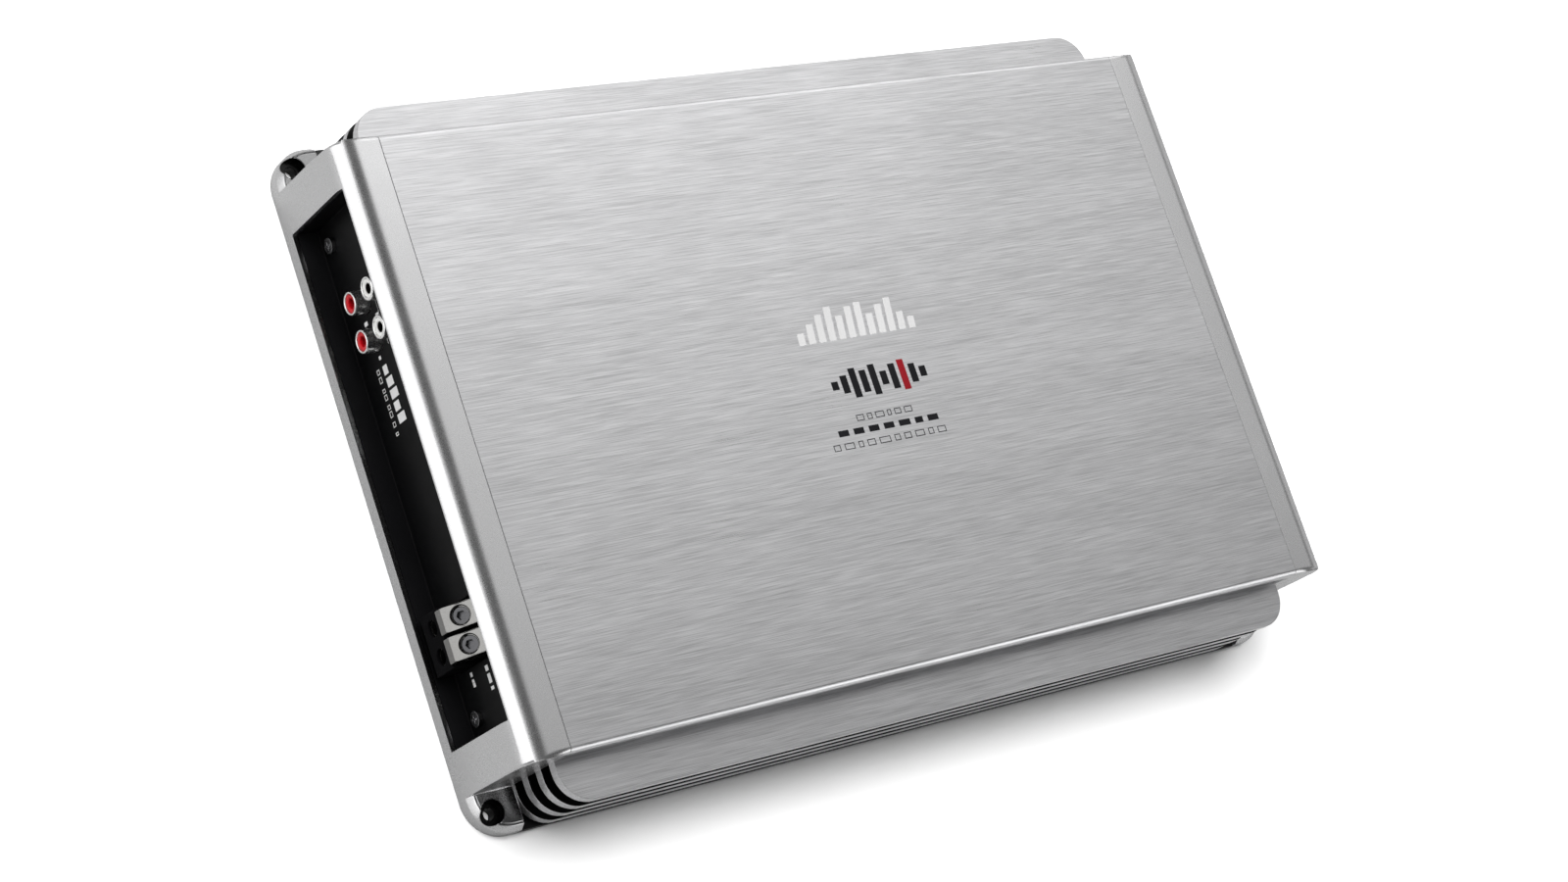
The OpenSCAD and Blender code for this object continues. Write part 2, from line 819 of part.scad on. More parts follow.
module transistors_far() {
    color([0.12, 0.12, 0.12]) for (x = fet_x) transistor(x);
}

module insulating_pads() {
    color("lightblue") for (sy = [0, 1])
        mirror([0, sy, 0]) difference() {
            block([-6, fet_y1, 11], [134, wall_in, 30]);
            for (x = clamp_screw_x)
                translate([x, wall_in, clamp_z]) rotate([90, 0, 0])
                    cylinder(4, m3_hole_r, m3_hole_r, center = true);
        }
}

module clamp_bars() {
    color("gray") for (sy = [0, 1])
        mirror([0, sy, 0]) difference() {
            block([-6, fet_y0 - 3, clamp_z - 3.5],
                [134, fet_y0, clamp_z + 3.5]);
            for (x = clamp_screw_x)
                translate([x, fet_y0, clamp_z]) rotate([90, 0, 0])
                    cylinder(8, m3_hole_r, m3_hole_r, center = true);
        }
}

module clamp_screws() {
    color("gray") for (sy = [0, 1], x = clamp_screw_x)
        mirror([0, sy, 0]) translate([x, fet_y0 - 3, clamp_z])
            rotate([90, 0, 0]) pan_screw(12);
}

module control_chips() {
    color([0.1, 0.1, 0.1]) {
        for (x = [-70, -50, -30]) block([x - 5, -6, board_z1], [x + 5, 6, 12]);
        for (x = [-135, -118, -101]) block([x - 3, -20, board_z1], [x + 3, -12, 11.4]);
    }
}

cover_screw_places = concat(
    [for (x = cover_screw_x, sy = [-1, 1]) [x, sy * cover_screw_y]],
    [for (sx = [-1, 1], sy = [-1, 1])
        [sx * tongue_screw_x, sy * tongue_screw_y]]);

heatsink();
end_cap_signal();
end_cap_power();
cap_screws();
signal_tray();
power_tray();
signal_tray_screws();
power_tray_screws();
bottom_cover();
cover_screws();
main_board();
board_standoffs();
board_screws();
rca_housing();
rca_shells();
rca_cores_white();
rca_cores_red();
rca_contacts();
speaker_terminal_housing();
speaker_terminal_poles();
speaker_set_screw_1();
speaker_set_screw_2();
power_terminal_housing();
power_terminal_poles();
power_set_screw_1();
power_set_screw_2();
power_set_screw_3();
fuse_holder();
fuse_clips();
fuse_body_1();
fuse_body_2();
fuse_body_3();
fuse_blades_1();
fuse_blades_2();
fuse_blades_3();
control_board();
potentiometers();
gain_knob();
crossover_knob();
subsonic_knob();
bass_knob();
phase_switch();
phase_slider();
remote_jack();
status_leds();
transformer_windings();
transformer_bases();
output_inductors();
rail_capacitors();
input_capacitors();
signal_capacitors();
transistors_near();
transistors_far();
insulating_pads();
clamp_bars();
clamp_screws();
control_chips();
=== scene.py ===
"""Looks of a silver car amplifier: studio, materials and the pieces that stand for CAD nodes."""

import json
import math

import bmesh
import bpy
from mathutils import Matrix, Vector


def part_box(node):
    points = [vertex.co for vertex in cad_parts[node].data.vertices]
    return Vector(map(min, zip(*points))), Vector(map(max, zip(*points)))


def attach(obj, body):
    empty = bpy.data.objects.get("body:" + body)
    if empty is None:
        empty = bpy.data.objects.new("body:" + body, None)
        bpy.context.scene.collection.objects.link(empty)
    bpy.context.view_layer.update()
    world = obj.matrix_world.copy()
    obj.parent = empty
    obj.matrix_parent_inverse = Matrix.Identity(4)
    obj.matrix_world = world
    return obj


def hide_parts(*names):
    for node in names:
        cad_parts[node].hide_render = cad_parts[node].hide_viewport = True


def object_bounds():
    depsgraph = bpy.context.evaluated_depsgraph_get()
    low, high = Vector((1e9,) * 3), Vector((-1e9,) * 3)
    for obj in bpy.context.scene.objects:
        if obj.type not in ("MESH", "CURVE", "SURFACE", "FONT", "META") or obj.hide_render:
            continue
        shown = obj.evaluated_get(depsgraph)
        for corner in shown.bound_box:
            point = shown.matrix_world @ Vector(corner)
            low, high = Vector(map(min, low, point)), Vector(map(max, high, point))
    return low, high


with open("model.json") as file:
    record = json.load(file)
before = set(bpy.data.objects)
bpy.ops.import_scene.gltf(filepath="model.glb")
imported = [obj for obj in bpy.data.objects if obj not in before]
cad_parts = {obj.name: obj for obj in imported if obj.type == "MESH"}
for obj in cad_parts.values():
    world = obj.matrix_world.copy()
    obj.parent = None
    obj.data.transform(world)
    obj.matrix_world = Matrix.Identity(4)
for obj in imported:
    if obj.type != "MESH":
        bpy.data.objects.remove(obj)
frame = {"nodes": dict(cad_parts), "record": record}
CAD_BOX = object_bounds()
MM = 0.001
LOW, HIGH = Vector(CAD_BOX[0]), Vector(CAD_BOX[1])
END_X = HIGH.x                      # outer face of the power end; the signal end is at -END_X
TOP_Z = HIGH.z
POWER_PANEL = END_X - 10.0 * MM     # faces of the two recessed panels
SIGNAL_PANEL = -POWER_PANEL
GROOVE_Z = 37.9 * MM                # below this height the faces between the fins get painted shade
FLANGE_Z = 3.6 * MM                 # just above the heatsink's base flange; the flange below it gets painted shade
WALL_Y = 104.5 * MM                 # outer face of the walls behind the fins
EAR_HOLE = (END_X - 7.1 * MM, HIGH.y - 8.0 * MM)
EAR_HOLE_R = 4.45 * MM              # just outside the counterbores' walls
EAR_TOP_Z = 8.2 * MM                # the ears' flat tops
BOARD_TOP = 9.6                     # the rest are in mm, as the marks and the board's parts are
KNOB_Y, KNOB_Z = (-16, -31, -46, -61), 27
TERMINAL_Y = (67.5, 54.0, 40.5)     # battery, remote turn-on, ground


# ---- materials ------------------------------------------------------------

class Shader:
    """A node material being built; socket values may be numbers, colours or other sockets."""

    def __init__(self, name):
        self.material = bpy.data.materials.new(name)
        self.material.use_nodes = True
        self.tree = self.material.node_tree
        self.tree.nodes.clear()
        self.surface = self.node("ShaderNodeBsdfPrincipled")
        out = self.tree.nodes.new("ShaderNodeOutputMaterial")
        self.tree.links.new(self.surface.outputs[0], out.inputs[0])
        self.place = self.node("ShaderNodeTexCoord").outputs["Object"]

    def put(self, socket, value):
        if isinstance(value, bpy.types.NodeSocket):
            self.tree.links.new(value, socket)
        elif isinstance(value, (tuple, list)) and len(value) == 3 and socket.type == "RGBA":
            socket.default_value = (*value, 1.0)
        else:
            socket.default_value = value

    def node(self, kind, settings=None, **inputs):
        made = self.tree.nodes.new(kind)
        for key, value in (settings or {}).items():
            setattr(made, key, value)
        for key, value in inputs.items():
            socket = int(key[1:]) if key[1:].isdigit() else key.replace("_", " ")
            self.put(made.inputs[socket], value)
        return made

    def math(self, operation, a, b=0.0, clamp=False):
        settings = {"operation": operation, "use_clamp": clamp}
        return self.node("ShaderNodeMath", settings, i0=a, i1=b).outputs[0]

    def scaled(self, scale, shift=(0, 0, 0)):
        return self.node("ShaderNodeMapping", Vector=self.place, Scale=scale, Location=shift).outputs[0]

    def noise(self, scale, detail=4.0, rough=0.55, shift=(0, 0, 0)):
        """Noise in 0..1 with that many cycles per metre along each axis."""
        made = self.node("ShaderNodeTexNoise", Vector=self.scaled(scale, shift), Scale=1.0, Detail=detail,
                         Roughness=rough)
        return made.outputs["Fac"]

    def spread(self, value, low, high, start=0.3, end=0.7):
        """Maps value from start..end to low..high."""
        made = self.node("ShaderNodeMapRange", {"clamp": True})
        for socket, v in zip(made.inputs, (value, start, end, low, high)):
            self.put(socket, v)
        return made.outputs[0]

    def blend(self, fac, a, b):
        made = self.node("ShaderNodeMix", {"data_type": "RGBA"})
        self.put(made.inputs["Factor"], fac)
        self.put(made.inputs[6], a)
        self.put(made.inputs[7], b)
        return made.outputs[2]

    def bump(self, height, strength, distance):
        return self.node("ShaderNodeBump", Height=height, Strength=strength, Distance=distance).outputs[0]

    def place_and_normal(self):
        """Nodes that split the shaded point's place and its normal into X, Y and Z."""
        normal = self.node("ShaderNodeTexCoord").outputs["Normal"]
        return [self.node("ShaderNodeSeparateXYZ", Vector=v) for v in (self.place, normal)]

    def fin_painted_shade_and_highlight(self):
        """Masks below the top fin: painted shade on walls, flat faces and flange, painted highlight on fin
        edges.
        """
        at, facing = self.place_and_normal()
        across = self.math("ABSOLUTE", at.outputs["Y"])
        below = self.spread(at.outputs["Z"], 1.0, 0.0, GROOVE_Z - 0.1 * MM, GROOVE_Z)
        flange = self.spread(at.outputs["Z"], 1.0, 0.0, FLANGE_Z, FLANGE_Z + 0.2 * MM)
        wall = self.spread(across, 1.0, 0.0, WALL_Y + 0.6 * MM, WALL_Y + 1.0 * MM)
        flat = self.spread(self.math("ABSOLUTE", facing.outputs["Z"]), 0.0, 1.0, 0.55, 0.8)
        inner = self.spread(across, 1.0, 0.0, HIGH.y - 0.3 * MM, HIGH.y - 0.1 * MM)
        dark = self.math("MAXIMUM", wall, self.math("MULTIPLY", flat, inner))
        dark = self.math("MAXIMUM", dark, flange)
        painted_highlight = self.math("MULTIPLY", self.math("SUBTRACT", 1.0, inner), self.math("SUBTRACT", 1.0, flat))
        return self.math("MULTIPLY", below, dark), self.math("MULTIPLY", below, painted_highlight)

    def ear_painted_shade(self):
        """Painted shade: 1 inside the mounting ears' counterbores, part way on the ears' flat tops, 0
        elsewhere.
        """
        at, facing = self.place_and_normal()
        from_x = self.math("SUBTRACT", self.math("ABSOLUTE", at.outputs["X"]), EAR_HOLE[0])
        from_y = self.math("SUBTRACT", self.math("ABSOLUTE", at.outputs["Y"]), EAR_HOLE[1])
        apart = self.math("SQRT", self.math("ADD", self.math("MULTIPLY", from_x, from_x),
                                            self.math("MULTIPLY", from_y, from_y)))
        within = self.spread(apart, 1.0, 0.0, EAR_HOLE_R, EAR_HOLE_R + 0.2 * MM)
        sunk = self.spread(at.outputs["Z"], 1.0, 0.0, EAR_TOP_Z - 0.45 * MM, EAR_TOP_Z - 0.25 * MM)
        level = self.spread(facing.outputs["Z"], 0.0, 0.55, 0.9, 0.99)
        low = self.spread(at.outputs["Z"], 1.0, 0.0, EAR_TOP_Z + 0.1 * MM, EAR_TOP_Z + 0.4 * MM)
        sunk_floor, flat_top = self.math("MULTIPLY", within, sunk), self.math("MULTIPLY", level, low)
        return self.math("MAXIMUM", sunk_floor, flat_top)

    def set(self, **values):
        for key, value in values.items():
            self.put(self.surface.inputs[key.replace("_", " ")], value)


def shade(color, factor):
    return tuple(min(1.0, c * factor) for c in color)


def grained(name, color, rough, grain, metallic=0.0, depth=0.02, spread=0.14, wear=0.0, wear_color=None,
            coat=0.0, transmission=0.0, specular=0.5, ears=False):
    """A moulded, cast, painted or plated finish: fine grain, smudges, colour drift and a little wear."""
    s = Shader(name)
    fine = s.noise((grain, grain, grain), 5.0, 0.6)
    drift = s.noise((38.0, 38.0, 38.0), 3.0, 0.5, (3.1, 1.7, 0.4))
    smudge = s.noise((120.0, 95.0, 110.0), 4.0, 0.6, (0.3, 5.2, 2.2))
    mixed = s.math("ADD", s.math("MULTIPLY", fine, 0.45), s.math("MULTIPLY", drift, 0.55))
    uneven = s.spread(mixed, 0.0, 1.0, 0.36, 0.64)
    tone = s.blend(uneven, shade(color, 1.0 - spread), shade(color, 1.0 + spread))
    gloss = s.math("ADD", s.spread(smudge, rough[0], rough[1]), s.spread(fine, -0.03, 0.03), clamp=True)
    if wear > 0.0:
        scuff = s.noise((260.0, 640.0, 420.0), 6.0, 0.75, (7.7, 0.2, 1.9))
        mask = s.spread(scuff, 0.0, wear, 0.64, 0.74)
        tone = s.blend(mask, tone, wear_color or shade(color, 1.8))
        gloss = s.math("ADD", gloss, s.math("MULTIPLY", mask, 0.12), clamp=True)
    if ears:
        # painted shade: nearly black in the ears' counterbores, darker part way on their flat tops
        tone = s.blend(s.ear_painted_shade(), tone, shade(color, 0.03))
    s.set(Base_Color=tone, Metallic=metallic, Roughness=gloss, Normal=s.bump(fine, 0.35, depth * MM))
    s.set(Coat_Weight=coat, Coat_Roughness=0.08)
    s.set(Transmission_Weight=transmission, Specular_IOR_Level=specular)
    return s.material


def brushed(name, color):
    """Aluminium brushed along X: streaks of several widths and single brighter scratches."""
    s = Shader(name)

    def streak(length, width, detail, shift):
        """Noise stretched along X; length and width in mm."""
        across = 1.0 / (width * MM)
        return s.noise((1.0 / (length * MM), across, across), detail, 0.6, shift)

    fine = streak(15.0, 0.24, 3.0, (0.0, 0.0, 0.0))
    middle = streak(38.0, 0.8, 4.0, (1.3, 4.1, 0.7))
    wide = streak(420.0, 14.0, 2.0, (2.2, 0.6, 5.1))
    cut = s.spread(streak(16.0, 0.34, 2.0, (9.4, 3.3, 1.1)), 0.0, 1.0, 0.64, 0.74)
    cloud = s.noise((22.0, 22.0, 22.0), 3.0, 0.5, (0.5, 8.0, 2.5))
    lines = s.math("ADD", s.math("MULTIPLY", fine, 0.6), s.math("MULTIPLY", middle, 0.4))
    lines = s.math("ADD", s.math("MULTIPLY", lines, 0.88), s.math("MULTIPLY", wide, 0.12))
    tone = s.blend(s.spread(lines, 0.0, 1.0, 0.40, 0.60), shade(color, 0.74), shade(color, 1.16))
    tone = s.blend(s.math("MULTIPLY", cut, 0.5), tone, shade(color, 1.28))
    dark, edges = s.fin_painted_shade_and_highlight()
    # painted highlight: the fins' outer edges are painted lighter
    tone = s.blend(edges, tone, shade(color, 1.45))
    # painted shade: the walls between the fins, the fins' flat faces and the base flange made nearly black
    tone = s.blend(dark, tone, shade(color, 0.05))
    gloss = s.math("ADD", s.spread(lines, 0.27, 0.42), s.spread(cloud, -0.04, 0.05), clamp=True)
    height = s.math("ADD", lines, s.math("MULTIPLY", cut, 0.3))
    s.set(Base_Color=tone, Metallic=1.0, Roughness=gloss, Normal=s.bump(height, 0.22, 0.06 * MM))
    return s.material


def circuit_board(name, color):
    """Solder mask over copper tracks, with plated pads."""
    s = Shader(name)
    at = s.scaled((230.0, 230.0, 230.0))
    tracks = s.node("ShaderNodeTexBrick", Vector=at, Scale=1.0, Mortar_Size=0.14, Mortar_Smooth=0.05)
    tracks.inputs["Color1"].default_value = (0, 0, 0, 1)
    tracks.inputs["Color2"].default_value = (0.15, 0.15, 0.15, 1)
    tracks.inputs["Mortar"].default_value = (1, 1, 1, 1)
    line = s.node("ShaderNodeRGBToBW", Color=tracks.outputs["Color"]).outputs[0]
    cell = s.node("ShaderNodeTexVoronoi", Vector=s.scaled((190.0, 190.0, 190.0)), Scale=1.0)
    pad = s.spread(cell.outputs["Distance"], 1.0, 0.0, 0.10, 0.15)
    tone = s.blend(line, shade(color, 0.7), shade(color, 1.9))
    tone = s.blend(pad, tone, (0.62, 0.58, 0.46))
    height = s.math("ADD", s.math("MULTIPLY", line, 0.5), pad)
    gloss = s.spread(s.noise((90, 90, 90)), 0.22, 0.4)
    metal = s.math("MULTIPLY", pad, 0.9)
    s.set(Base_Color=tone, Metallic=metal, Roughness=gloss, Normal=s.bump(height, 0.4, 0.05 * MM))
    return s.material


def wound_wire(name, color):
    """Enamelled copper: warm, glossy, each turn slightly different."""
    s = Shader(name)
    drift = s.noise((160.0, 160.0, 160.0), 4.0, 0.6)
    fine = s.noise((1400.0, 1400.0, 1400.0), 3.0, 0.6)
    tone = s.blend(s.spread(drift, 0.0, 1.0), shade(color, 0.62), shade(color, 1.25))
    gloss = s.spread(fine, 0.18, 0.34)
    s.set(Base_Color=tone, Metallic=0.85, Roughness=gloss, Normal=s.bump(fine, 0.2, 0.02 * MM))
    s.set(Coat_Weight=0.6, Coat_Roughness=0.06)
    return s.material


RECORD = {m["slot"]: tuple(m["base_color"]) for m in frame["record"]["materials"]}


def grey(tone):
    return (tone, tone, tone)


METAL = {"metallic": 1.0}
FINISHES = {
    # the end caps' finish, with painted shade in the mounting ears (ears=True)
    "satin_cap": dict(METAL, color=(0.70, 0.70, 0.705), rough=(0.27, 0.30), grain=2400, depth=0.002,
                      spread=0.015, ears=True),
    "fastener_steel": dict(METAL, rough=(0.22, 0.4), grain=2200, depth=0.03, spread=0.16, wear=0.3),
    "black_fastener": dict(METAL, color=(0.42, 0.42, 0.43), rough=(0.2, 0.3), grain=2200, depth=0.03,
                           spread=0.2, wear=0.5, wear_color=grey(0.5)),
    "black_moulding": dict(color=(0.005, 0.005, 0.0055), rough=(0.30, 0.42), grain=2600, depth=0.03,
                           spread=0.2, wear=0.1, wear_color=(0.02, 0.02, 0.021), specular=0.09),
    "matt_moulding": dict(color=(0.004, 0.004, 0.0045), rough=(0.7, 0.8), grain=2600, depth=0.03,
                          spread=0.2, specular=0.02),
    "cover_black": dict(color=(0.03, 0.03, 0.032), rough=(0.45, 0.6), grain=1300, depth=0.09,
                        spread=0.2, wear=0.3, wear_color=grey(0.08)),
    "brass_parts": dict(METAL, rough=(0.2, 0.38), grain=1800, wear=0.25),
    "nickel": dict(METAL, color=(0.27, 0.267, 0.26), rough=(0.16, 0.28), grain=1600, depth=0.018,
                   spread=0.1, wear=0.3, wear_color=(0.5, 0.49, 0.47)),
    "bright_rim": dict(METAL, color=(0.95, 0.95, 0.94), rough=(0.22, 0.32), grain=1600, depth=0.01,
                       spread=0.03),
    "insulator_white": dict(color=(0.82, 0.82, 0.80), rough=(0.25, 0.36), grain=1900, depth=0.012,
                            spread=0.04, wear=0.1, wear_color=(0.7, 0.69, 0.66), coat=0.3),
    "insulator_red": dict(color=(0.50, 0.006, 0.012), rough=(0.3, 0.4), grain=1900, depth=0.012,
                          spread=0.12, specular=0.25),
    "screw_dark": dict(METAL, color=(0.10, 0.10, 0.105), rough=(0.16, 0.28), grain=2400, depth=0.03,
                       spread=0.2, wear=0.5, wear_color=grey(0.4)),
    "fuse_amber": dict(color=(0.9, 0.34, 0.03), rough=(0.1, 0.2), grain=1500, depth=0.01, spread=0.1,
                       wear=0.1, wear_color=(0.9, 0.5, 0.2), coat=0.4, transmission=0.35),
    "tin_plate": dict(METAL, rough=(0.22, 0.4), grain=2000, spread=0.1, wear=0.2),
    "pot_blue": dict(rough=(0.3, 0.45), grain=1900, wear=0.15),
    "knob_black": dict(color=(0.022, 0.022, 0.024), rough=(0.34, 0.5), grain=2500, depth=0.04,
                       spread=0.2, wear=0.25, wear_color=grey(0.07)),
    "led_lens": dict(rough=(0.08, 0.16), grain=1200, depth=0.01, spread=0.1, coat=0.5, transmission=0.4),
    "capacitor_sleeve": dict(rough=(0.16, 0.3), grain=900, spread=0.16, wear=0.1, coat=0.4),
    "chip_black": dict(rough=(0.4, 0.55), grain=3000, depth=0.05, spread=0.2, wear=0.2),
    "pad_blue": dict(rough=(0.6, 0.75), grain=1500, depth=0.03, spread=0.1, wear=0.1),
    "print_pale": dict(color=grey(0.44), rough=(0.45, 0.55), grain=1600, depth=0.01, spread=0.06,
                       wear=0.4, wear_color=grey(0.33)),
    "print_white": dict(color=grey(0.78), rough=(0.5, 0.6), grain=1600, depth=0.01, spread=0.05,
                        wear=0.15, wear_color=grey(0.5)),
    "print_dark": dict(color=(0.006, 0.006, 0.007), rough=(0.55, 0.65), grain=1600, depth=0.01,
                       spread=0.2, wear=0.1, wear_color=grey(0.05), specular=0.12),
    "print_red": dict(color=(0.17, 0.005, 0.009), rough=(0.5, 0.6), grain=1600, depth=0.01,
                      spread=0.14, wear=0.1, wear_color=(0.35, 0.05, 0.05), specular=0.15),
}
# A finish that gives no colour takes the one that the record gives its slot
LOOKS = {name: grained(name, **({"color": RECORD.get(name)} | finish)) for name, finish in FINISHES.items()}
LOOKS["brushed_case"] = brushed("brushed_case", RECORD["brushed_case"])
LOOKS["board_green"] = circuit_board("board_green", (0.010, 0.075, 0.032))
LOOKS["copper_wire"] = wound_wire("copper_wire", RECORD["copper_wire"])

SLOT_OF = {part["node"]: part["material_slot"] for part in frame["record"]["subparts"]}
BODY_OF = {node: body for body, nodes in frame["record"]["behaviour"]["bodies"].items() for node in nodes}
for node, cad in frame["nodes"].items():
    for place in range(max(1, len(cad.material_slots))):
        if place < len(cad.material_slots):
            cad.material_slots[place].material = LOOKS[SLOT_OF[node]]
        else:
            cad.data.materials.append(LOOKS[SLOT_OF[node]])


# ---- pieces -----------------------------------------------------------------

SHARP_ANGLE = math.radians(35.0)    # edges steeper than this are shaded as creases
HARD_ANGLE = math.radians(28.0)     # edges steeper than this are rounded over
CAP_CORNER_Y = 110 * MM             # the end caps' upright corners
CAP_CORNER_FOOT = 8.5 * MM
CAP_CORNER_R = 1.3 * MM


def piece(name, bm, look, body="body", stands_for=()):
    """Turns a bmesh into an object that rides on a body and stands for those CAD nodes."""
    mesh = bpy.data.meshes.new(name)
    bmesh.ops.recalc_face_normals(bm, faces=bm.faces)
    bm.to_mesh(mesh)
    bm.free()
    mesh.materials.append(look)
    made = bpy.data.objects.new(name, mesh)
    bpy.context.scene.collection.objects.link(made)
    for polygon in mesh.polygons:
        polygon.use_smooth = True
    mesh.set_sharp_from_angle(angle=SHARP_ANGLE)
    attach(made, body)
    for node in stands_for:
        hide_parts(node)
    even = made.modifiers.new("even_faces", "WEIGHTED_NORMAL")
    even.keep_sharp = True


def softened(node, width):
    """The node's own shape with its hard edges rounded over, as a tumbled or moulded part has.

    The end caps' upright corners are rounded more strongly, from just above the ears to the top.
    """
    is_cap = node.startswith("end_cap")
    bm = bmesh.new()
    bm.from_mesh(frame["nodes"][node].data)
    bmesh.ops.remove_doubles(bm, verts=bm.verts, dist=2e-6)
    bmesh.ops.dissolve_limit(bm, angle_limit=math.radians(0.6), verts=bm.verts, edges=bm.edges)

    def blends(vert):
        """Whether it lies where a cap's rounded corner runs into its rounded end and top."""
        return (abs(vert.co.x) > END_X - 9.6 * MM and vert.co.z > TOP_Z - 2.05 * MM
                and abs(vert.co.y) > CAP_CORNER_Y - 2.1 * MM)

    def hard(edge):
        smooth = is_cap and all(blends(vert) for vert in edge.verts)
        return len(edge.link_faces) == 2 and edge.calc_face_angle(0.0) > HARD_ANGLE and not smooth

    def on_corner(vert):
        return abs(abs(vert.co.y) - CAP_CORNER_Y) < 0.01 * MM and vert.co.z > CAP_CORNER_FOOT

    if is_cap:
        corners = [edge for edge in bm.edges if hard(edge) and all(on_corner(vert) for vert in edge.verts)]
        bmesh.ops.bevel(bm, geom=corners, offset=CAP_CORNER_R, segments=4, profile=0.5, affect="EDGES",
                        clamp_overlap=False)
    edges = [edge for edge in bm.edges if hard(edge)]
    bmesh.ops.bevel(bm, geom=edges, offset=width * MM, segments=2, profile=0.6, affect="EDGES",
                    clamp_overlap=False, miter_outer="ARC")
    slot = SLOT_OF[node]
    look = LOOKS["matt_moulding" if node.endswith("terminal_housing") else slot]
    piece(node + "_soft", bm, look, BODY_OF[node], (node,))


def ring_points(bm, centre, axis, side, radius, height, steps):
    """A ring of new points round the axis, starting on that side of it."""
    up = axis.cross(side)
    return [bm.verts.new(centre + axis * height + (side * math.cos(a) + up * math.sin(a)) * radius)
            for a in (2 * math.pi * i / steps for i in range(steps))]


def lathe(bm, centre, axis, profile, steps=64):
    """Adds a closed turned shape; profile is (radius, height) in mm, and a zero radius closes an end."""
    axis = Vector(axis).normalized()
    side = axis.orthogonal().normalized()
    centre = Vector(centre)
    rings = []
    for radius, height in profile:
        if radius <= 0.0:
            rings.append([bm.verts.new(centre + axis * height * MM)])
        else:
            rings.append(ring_points(bm, centre, axis, side, radius * MM, height * MM, steps))
    pairs = list(zip(rings, rings[1:]))
    if len(rings[0]) > 1 and len(rings[-1]) > 1:
        pairs.append((rings[-1], rings[0]))
    for a, b in pairs:
        for i in range(steps):
            j = (i + 1) % steps
            corners = [a[i % len(a)], a[j % len(a)], b[j % len(b)], b[i % len(b)]]
            unique = list(dict.fromkeys(corners))
            if len(unique) > 2:
                bm.faces.new(unique)


# How wide each node's edges are rounded, in mm
EDGE_WIDTHS = {
    "heatsink": 0.3, "end_cap_signal": 0.35, "end_cap_power": 0.35, "signal_tray": 0.2, "power_tray": 0.2,
    "speaker_terminal_poles": 0.5, "power_terminal_poles": 0.3,
    "speaker_terminal_housing": 0.2, "power_terminal_housing": 0.2, "fuse_holder": 0.25,
    "speaker_set_screw_1": 0.2, "speaker_set_screw_2": 0.2,
    "power_set_screw_1": 0.2, "power_set_screw_2": 0.2, "power_set_screw_3": 0.2,
    "fuse_body_1": 0.3, "fuse_body_2": 0.3, "fuse_body_3": 0.3,
    "gain_knob": 0.2, "crossover_knob": 0.2, "subsonic_knob": 0.2, "bass_knob": 0.2,
    "phase_slider": 0.2, "remote_jack": 0.15, "signal_tray_screws": 0.15, "power_tray_screws": 0.15,
    "cover_screws": 0.1, "bottom_cover": 0.2, "cap_screws": 0.12, "board_screws": 0.12,
    "clamp_screws": 0.12, "board_standoffs": 0.2, "clamp_bars": 0.3,
    "transistors_near": 0.15, "transistors_far": 0.15, "control_chips": 0.2, "potentiometers": 0.3,
    "phase_switch": 0.15, "transformer_bases": 0.3, "fuse_clips": 0.1,
}
for node, width in EDGE_WIDTHS.items():
    softened(node, width)


# ---- phono sockets ------------------------------------------------------------

RCA_FACE = -(END_X - 4.0 * MM)
# Turned sections as (radius, height above the socket's face) in mm
SHELL = [(4.15, -16.5), (4.15, -0.5), (4.07, -0.22), (3.92, -0.05), (3.72, 0.0), (3.52, -0.05),
         (3.38, -0.2), (3.3, -0.45), (3.3, -16.5)]
CORE = [(1.95, -15.0), (1.95, -0.75), (2.15, -0.55), (2.5, -0.42), (3.1, -0.40), (3.27, -0.5),
        (3.27, -15.0)]
SLEEVE = [(1.66, -12.0), (1.66, -0.95), (1.74, -0.82), (1.86, -0.82), (1.93, -0.95), (1.93, -12.0)]
CONTACT_R = 2.15 * MM


def socket_places():
    """Axis points of the four sockets, read from the CAD's contacts: upper row first."""
    low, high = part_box("rca_contacts")
    columns = (low[1] + CONTACT_R, high[1] - CONTACT_R)
    rows = (high[2] - CONTACT_R, low[2] + CONTACT_R)
    return [[Vector((RCA_FACE, y, z)) for y in columns] for z in rows]


def phono_sockets():
    """Rims, white and red insulators, and the upper sockets' bright pin sleeves."""
    upper, lower = socket_places()
    outward = (-1, 0, 0)
    bm = bmesh.new()
    for place in upper + lower:
        lathe(bm, place, outward, SHELL, 72)
    piece("rca_rims", bm, LOOKS["bright_rim"], stands_for=("rca_shells",))
    for name, row, slot in (("rca_white", upper, "insulator_white"), ("rca_red", lower, "insulator_red")):
        bm = bmesh.new()
        for place in row:
            lathe(bm, place, outward, CORE, 72)
        piece(name, bm, LOOKS[slot], stands_for=("rca_cores_" + name[4:],))
    bm = bmesh.new()
    for place in upper:
        lathe(bm, place, outward, SLEEVE, 40)
    piece("rca_pin_sleeves", bm, LOOKS["nickel"])


phono_sockets()


# ---- printed marks: plain bars and ticks, no lettering ----------------------------

def on_top(u, v, lift):
    return Vector((u * MM, v * MM, TOP_Z + lift * MM))


def on_signal_panel(u, v, lift):
    return Vector((SIGNAL_PANEL - lift * MM, u * MM, v * MM))


def on_power_panel(u, v, lift):
    return Vector((POWER_PANEL + lift * MM, u * MM, v * MM))


def slab(bm, outline, plane, proud=0.02, sunk=0.05):
    """A thin shape: the outline in mm on that plane, from sunk below it to a hair proud of it."""
    upper = [bm.verts.new(plane(u, v, proud)) for u, v in outline]
    lower = [bm.verts.new(plane(u, v, -sunk)) for u, v in outline]
    bm.faces.new(upper)
    bm.faces.new(lower[::-1])
    for i in range(len(upper)):
        j = (i + 1) % len(upper)
        bm.faces.new((upper[i], lower[i], lower[j], upper[j]))


